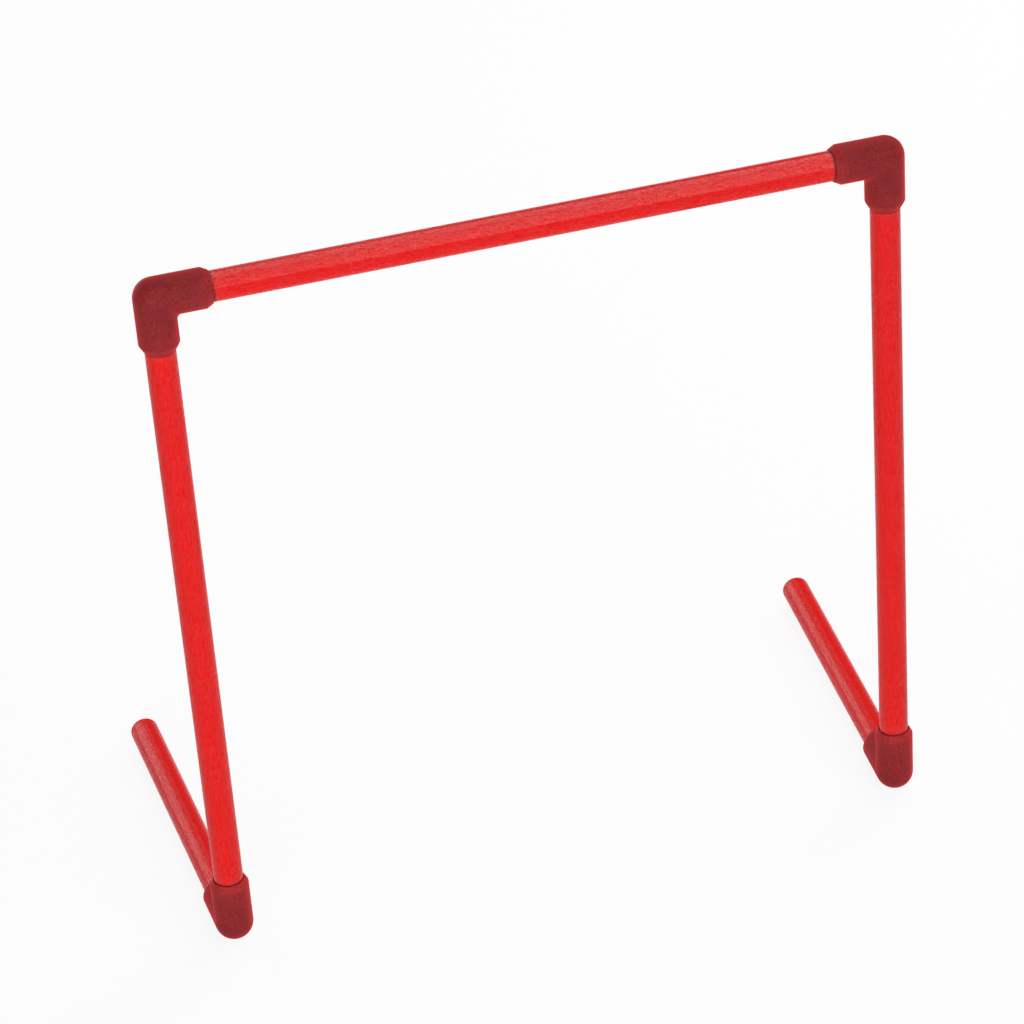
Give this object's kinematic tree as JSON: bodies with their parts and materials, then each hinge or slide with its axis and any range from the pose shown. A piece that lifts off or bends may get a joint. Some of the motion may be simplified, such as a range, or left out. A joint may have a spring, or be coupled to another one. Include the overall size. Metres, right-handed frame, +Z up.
{
  "type": "speed hurdle",
  "caption": "Low training hurdle: a round crossbar on two tube legs with feet that run back along the floor, push-fitted into corner elbows so it turns, folds flat and comes apart.",
  "frame": {"origin": "on the floor, at the middle of the footprint", "axes": "+X along the crossbar, +Y towards the free ends of the feet, +Z up"},
  "size_m": [0.6566, 0.3236, 0.641],
  "materials": {
    "tube_red": "semi-gloss extruded PVC, red right through",
    "elbow_maroon": "matte moulded plastic with a fine spark texture, dark red",
    "plug_red": "soft satin polyethylene, red"
  },
  "bodies": {
    "crossbar": {"crossbar": "tube_red"},
    "top_left_corner": {"top_left_elbow": "elbow_maroon"},
    "left_leg": {"left_leg": "tube_red"},
    "bottom_left_corner": {"bottom_left_elbow": "elbow_maroon"},
    "left_foot": {"left_foot": "tube_red", "left_foot_plug": "plug_red"},
    "top_right_corner": {"top_right_elbow": "elbow_maroon"},
    "right_leg": {"right_leg": "tube_red"},
    "bottom_right_corner": {"bottom_right_elbow": "elbow_maroon"},
    "right_foot": {"right_foot": "tube_red", "right_foot_plug": "plug_red"}
  },
  "joints": [
    {"name": "left_leg_swing", "type": "hinge", "parent": "crossbar", "child": "top_left_corner", "pos_m": [-0.3, -0.14504, 0.6245], "axis": [1, 0, 0], "continuous": true},
    {"name": "left_leg_pull", "type": "slide", "parent": "top_left_corner", "child": "left_leg", "axis": [0, 0, -1], "range_m": [0, 0.039]},
    {"name": "left_foot_swivel", "type": "hinge", "parent": "left_leg", "child": "bottom_left_corner", "pos_m": [-0.3, -0.14504, 0.0165], "axis": [0, 0, 1], "continuous": true},
    {"name": "left_foot_pull", "type": "slide", "parent": "bottom_left_corner", "child": "left_foot", "axis": [-0.0523, 0.9986, 0], "range_m": [0, 0.039]},
    {"name": "right_leg_swing", "type": "hinge", "parent": "crossbar", "child": "top_right_corner", "pos_m": [0.3, -0.14504, 0.6245], "axis": [1, 0, 0], "continuous": true},
    {"name": "right_leg_pull", "type": "slide", "parent": "top_right_corner", "child": "right_leg", "axis": [0, 0, -1], "range_m": [0, 0.039]},
    {"name": "right_foot_swivel", "type": "hinge", "parent": "right_leg", "child": "bottom_right_corner", "pos_m": [0.3, -0.14504, 0.0165], "axis": [0, 0, 1], "continuous": true},
    {"name": "right_foot_pull", "type": "slide", "parent": "bottom_right_corner", "child": "right_foot", "axis": [0.0523, 0.9986, 0], "range_m": [0, 0.039]}
  ]
}
